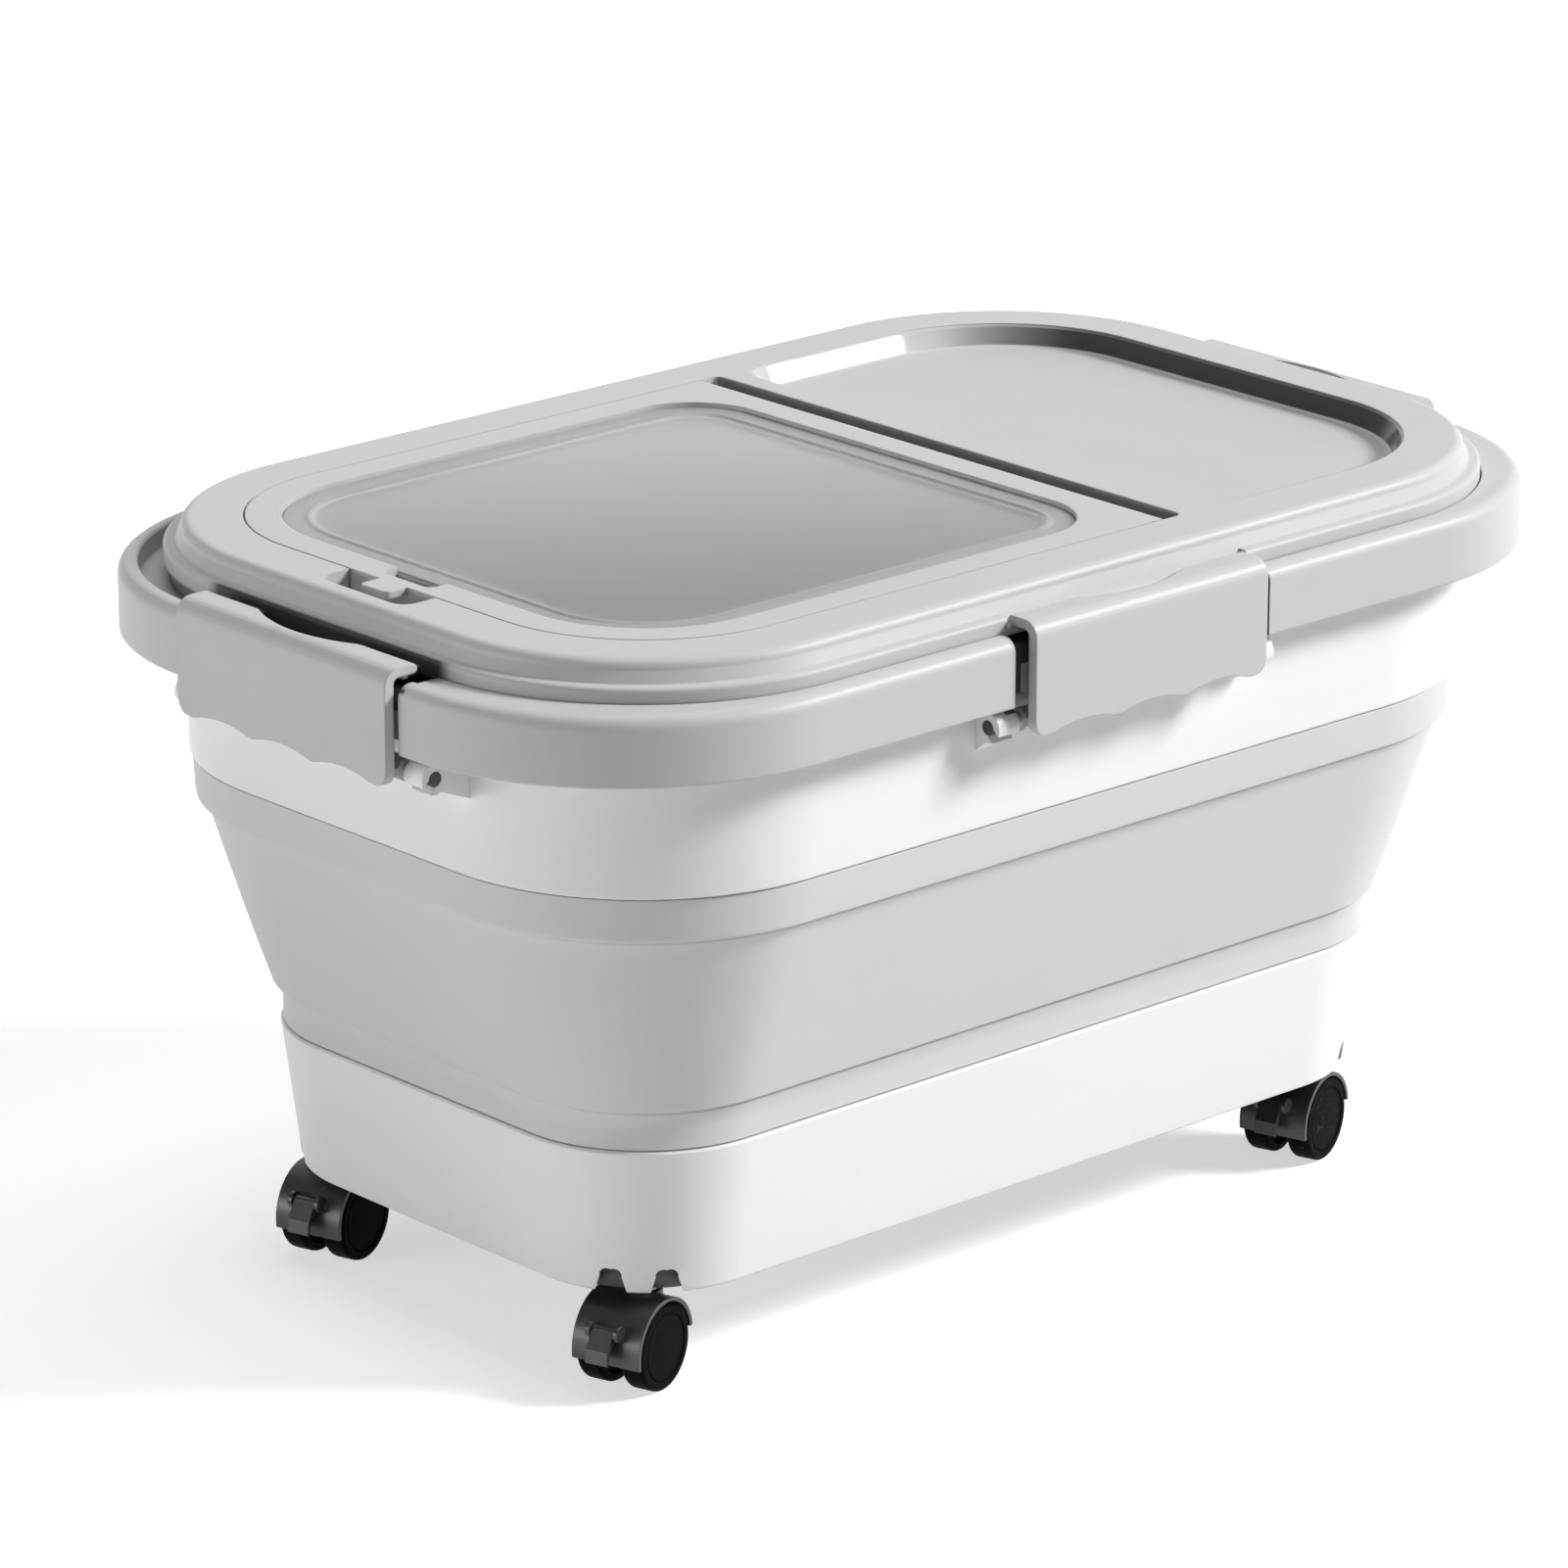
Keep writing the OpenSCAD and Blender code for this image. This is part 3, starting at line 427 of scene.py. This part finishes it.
FINISHES = {
    # Its places paint shade under the tub's floor and on the ring beside the side clips.
    "white_plastic": {
        "colour": (0.865, 0.865, 0.852), "roughness": 0.36, "mottle": 0.008,
        "places": WHITE_PAINTED_SHADE, "shaded": (0.12, 0.12, 0.118), "Specular IOR Level": 0.3,
        "Subsurface Weight": 0.15, "Subsurface Radius": (1, 1, 1), "Subsurface Scale": 0.002},
    # Its places paint shade on the tray's and hinge slot's walls and in the gaps round the clips.
    "grey_plastic": {
        "colour": (0.56, 0.56, 0.55), "roughness": 0.42, "mottle": 0.012, "marks": 0.25,
        "edge": 0.0009, "places": GREY_PAINTED_SHADE_AND_GLOSS, "shaded": (0.07, 0.072, 0.07),
        "Specular IOR Level": 0.3},
    "soft_grey": {
        "colour": (0.63, 0.63, 0.62), "roughness": 0.5, "grain": 1200.0, "depth": 0.00004,
        "mottle": 0.015, "Sheen Weight": 0.08},
    "caster_plastic": {
        "colour": (0.02, 0.02, 0.021), "roughness": 0.38, "mottle": 0.1,
        "Specular IOR Level": 0.7},
    "wheel_black": {
        "colour": (0.004, 0.004, 0.0045), "roughness": 0.5, "grain": 900.0, "depth": 0.00006,
        "mottle": 0.1, "Specular IOR Level": 0.02},
    "steel": {"colour": (0.6, 0.6, 0.61), "roughness": 0.3, "marks": 0.5, "Metallic": 1.0},
    # Its places paint shade across the pane, darker to its free end and the front.
    "clear_plastic": {
        "colour": (0.8, 0.795, 0.79), "roughness": 0.28, "depth": 0.00001, "mottle": 0.01,
        "places": PANE_PAINTED_SHADE, "shaded": (0.42, 0.418, 0.415), "Transmission Weight": 0.7,
        "IOR": 1.46},
    "seal_grey": {"colour": (0.42, 0.42, 0.415), "roughness": 0.55, "grain": 1500.0},
}
SKINS = {name: plastic(name, **finish) for name, finish in FINISHES.items()}


# ---------------------------------------------------------------- surfaces


def walk(x0, x1, half_y, r_left=0.0, r_right=0.0, per_corner=26, per_side=12):
    """A rounded outline and its outward normals, round from the front left corner.

    Each corner is centre + radius * (cos, sin) over a quarter turn, and straights join them.
    """
    corners = [(x0 + r_left, r_left, -1, -1), (x1 - r_right, r_right, 1, -1),
               (x1 - r_right, r_right, 1, 1), (x0 + r_left, r_left, -1, 1)]
    arcs, normals = [], []
    for x, r, sx, sy in corners:
        turn = math.atan2(sy, sx) - math.pi / 4 + np.linspace(0, math.pi / 2, per_corner + 1)
        normals.append(np.stack([np.cos(turn), np.sin(turn)], 1))
        arcs.append(np.array([x, sy * (half_y - r)]) + r * normals[-1])
    places, share = [], np.linspace(0, 1, per_side + 1)[1:-1, None]
    for arc, following in zip(arcs, arcs[1:] + arcs[:1]):
        places += [arc, arc[-1] + (following[0] - arc[-1]) * share]
    outward = [n for m in normals for n in (m, np.repeat(m[-1:], per_side - 1, 0))]
    return np.concatenate(places), np.concatenate(outward)


def smooth_line(points, steps):
    """A Catmull-Rom curve through the points, with so many steps to a span."""
    p = np.array(points, float)
    p = np.vstack([2 * p[0] - p[1], p, 2 * p[-1] - p[-2]])
    t = np.linspace(0, 1, steps, endpoint=False)[:, None]
    spans = [0.5 * (2 * b + (c - a) * t + (2 * a - 5 * b + 4 * c - d) * t ** 2
                    + (3 * b - a - 3 * c + d) * t ** 3)
             for a, b, c, d in zip(p, p[1:], p[2:], p[3:])]
    return np.vstack(spans + [p[-2:-1]])


def grid_mesh(name, points, closed_line=True):
    """Quads over a grid of points in millimetres: the rows close on the first, a line may too."""
    index = np.arange(points.shape[0] * points.shape[1]).reshape(points.shape[:2])
    index = np.vstack([index, index[:1]])
    if closed_line:
        index = np.hstack([index, index[:, :1]])
    quads = np.stack([index[:-1, :-1], index[1:, :-1], index[1:, 1:], index[:-1, 1:]], -1)
    mesh = bpy.data.meshes.new(name)
    mesh.from_pydata((points.reshape(-1, 3) * MM).tolist(), [], quads.reshape(-1, 4).tolist())
    mesh.shade_smooth()
    piece = bpy.data.objects.new(name, mesh)
    bpy.context.scene.collection.objects.link(piece)
    return piece


def welded(piece):
    """Merges the points that a pole repeats."""
    work = bmesh.new()
    work.from_mesh(piece.data)
    bmesh.ops.remove_doubles(work, verts=work.verts, dist=1e-7)
    bmesh.ops.dissolve_degenerate(work, edges=work.edges, dist=1e-8)
    work.to_mesh(piece.data)
    work.free()
    return piece


def carried(line, outline, **steps):
    """A (distance, height) line carried round an outline: place = outline + normal * distance."""
    base, normal = walk(*outline, **steps)
    flat = base[:, None, :] + normal[:, None, :] * line[None, :, :1]
    high = np.broadcast_to(line[None, :, 1:], (len(base), len(line), 1))
    return np.concatenate([flat, high], 2)


def ring_piece(name, loop, outline=CORE, **steps):
    """A closed loop carried once round an outline."""
    return grid_mesh(name, carried(np.asarray(loop, float), outline, **steps))


def folding_wall():
    """Soft wall: an outer line with collars, creases and fold beads, an inner line behind it."""
    outer = smooth_line([
        (40.2, 67), (41.2, 74.2), (43.55, 75.45), (43.62, 76.2), (43.6, 79), (43.75, 82.5),
        (44.6, 85.4), (45.0, 86.5), (44.75, 87.1), (45.3, 87.7), (46.7, 88.1), (47.5, 90.2),
        (50.9, 100), (54.5, 111), (58.0, 122), (61.4, 133), (63.9, 141), (64.9, 143.4),
        (65.3, 144.4), (65.1, 145.1), (65.5, 145.5), (67.2, 145.7), (67.75, 146.4),
        (67.95, 148.5), (68.2, 153), (68.42, 157.6), (68.3, 158.5), (66.6, 158.7), (66.4, 160),
        (66.4, 167.5)], 4)
    inner = smooth_line([
        (64.5, 167.5), (64.5, 158), (64.3, 148), (62.7, 143.5), (56.0, 122), (49.0, 100.5),
        (45.0, 90), (42.0, 86.5), (39.7, 82), (39.2, 75.5), (38.2, 67)], 6)
    return ring_piece("soft_wall", np.vstack([outer, inner]), per_corner=30, per_side=30)


def painted_shade_skirt():
    """Thin wall under the tub's floor, that closes the view through the corner scallops; the
    underside mask paints it dark as shade.
    """
    return ring_piece("painted_shade_skirt", [(33.6, 38.6), (33.6, 30.5), (33.85, 30.2), (34.45, 30.2),
                                      (34.7, 30.5), (34.7, 38.6)])


def lid_seal():
    """Two soft lips on a thin strip round the lid's plug."""
    return ring_piece("lip_seal", smooth_line([
        (64.65, 203.6), (65.6, 203.7), (66.5, 204.0), (67.15, 204.5), (66.5, 204.75),
        (65.9, 205.1), (65.75, 205.9), (66.4, 206.6), (67.1, 207.25), (66.4, 207.5),
        (65.7, 207.9), (65.5, 208.6), (64.65, 208.65)], 3))


def flip_seal():
    """Soft bead under the flip lid, round the window: a crown = centre + radii * (cos, sin)."""
    turn = np.radians(np.linspace(20, 160, 9))
    crown = np.stack([3.4 + 1.45 * np.cos(turn), 222.1 + 0.55 * np.sin(turn)], 1)
    loop = np.vstack([[(4.88, 219.9), (4.88, 221.6)], crown, [(1.92, 221.6), (1.92, 219.9)]])
    return ring_piece("flip_lip_seal", loop, WINDOW, per_side=14)


def shrunk(ring, rise):
    """Rings drawn in to a dome over their middle: height = rise * (1 - share squared)."""
    middle = ring.mean(0)
    share = np.array([0.97, 0.9, 0.8, 0.66, 0.5, 0.34, 0.17, 0])[None, :, None]
    rings = middle + (ring[:, None, :] - middle) * share
    rings[..., 2] = ring[0, 2] + rise * (1 - share[..., 0] ** 2)
    return rings


def window_pane():
    """Pane moulded in one: edge in the frame's rebate, ridge, sloped wall with a cove, low dome."""
    under = carried(np.array([
        (-14.0, 224.3), (-11.9, 224.3), (-8.7, 225.7), (-7.6, 225.75), (-6.9, 225.2),
        (-2.25, 225.2), (-2.25, 221.45), (-0.25, 221.45)]), WINDOW, per_side=24)
    over = carried(smooth_line([
        (-0.25, 222.3), (-0.25, 226.3), (-0.35, 226.9), (-0.8, 227.15), (-2.5, 227.2),
        (-6.2, 227.18), (-6.9, 227.3), (-7.5, 227.65), (-8.1, 227.8), (-8.7, 227.68),
        (-9.3, 227.3), (-10.2, 226.85), (-11.2, 226.55), (-12.4, 226.35), (-14.0, 226.25)], 4),
        WINDOW, per_side=24)
    points = [shrunk(under[:, 0], 0.5)[:, ::-1], under, over, shrunk(over[:, -1], 0.5)]
    return welded(grid_mesh("window_pane", np.concatenate(points, 1), closed_line=False))


def wheel_cap(name, centre, outward):
    """Domed cover of a wheel, turned about its axle, with a pole at each end.

    Place = centre + outward * height + radius * (cos * level + sin * up).
    """
    line = np.array([
        (0, 6.95), (9.95, 6.95), (9.95, 7.15), (9.7, 7.34), (9.2, 7.42), (8.6, 7.36), (8.2, 7.36),
        (6.4, 7.46), (4.4, 7.52), (2.2, 7.55), (0, 7.56)])
    turn = np.linspace(0, 2 * math.pi, 48, endpoint=False)[:, None, None]
    level, up = np.cross((0, 0, 1), outward), (0, 0, 1.0)
    radius, height = line[None, :, :1], line[None, :, 1:]
    points = centre + outward * height + radius * (np.cos(turn) * level + np.sin(turn) * up)
    return welded(grid_mesh(name, points, closed_line=False))


# ---------------------------------------------------------------- the bin


def dress_nodes():
    """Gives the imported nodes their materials; the axles are black, as the wheels they carry."""
    for name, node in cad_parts.items():
        for slot in node.material_slots:
            key = slot.material.name.split(".")[0] if slot.material else ""
            if name.endswith("_axle"):
                key = "wheel_black"
            slot.material = SKINS.get(key, SKINS["grey_plastic"])


def place(piece, slot_name, body=None, stands_for=None):
    """Gives a finished piece its material, the body it rides on and the node it stands for."""
    piece.data.materials.append(SKINS[slot_name])
    if body:
        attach(piece, body)
    if stands_for:
        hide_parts(stands_for)
    return piece


def fit_wheel_caps():
    """Two covers to a caster, each half a web out from the axle's middle."""
    turn = math.radians(CASTER_TURN)
    trail = np.array((math.cos(turn), math.sin(turn), 0)) * TRAIL
    across = np.array((-math.sin(turn), math.cos(turn), 0))
    for corner, sx, sy in CORNERS:
        middle = np.array((sx * STEM[0], sy * STEM[1], WHEEL_RADIUS)) - trail
        for wheel, side in (("inner", 1), ("outer", -1)):
            outward = across * side
            cap = wheel_cap(f"cap_{corner}_{wheel}", middle + outward * HALF_WEB, outward)
            place(cap, "wheel_black", f"wheel_{corner}_{wheel}")


bpy.context.scene.view_settings.view_transform = "Standard"
aim_camera()
light_room()
lay_floor()
dress_nodes()
wall = place(folding_wall(), "soft_grey", stands_for="folding_wall")
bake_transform(wall)
# A dark sheet of painted shade inside the corner scallops.
place(painted_shade_skirt(), "white_plastic", "base")
place(lid_seal(), "seal_grey", "upper", "lid_seal")
place(flip_seal(), "seal_grey", "flip_lid", "flip_seal")
place(window_pane(), "clear_plastic", "flip_lid", "flip_window")
fit_wheel_caps()
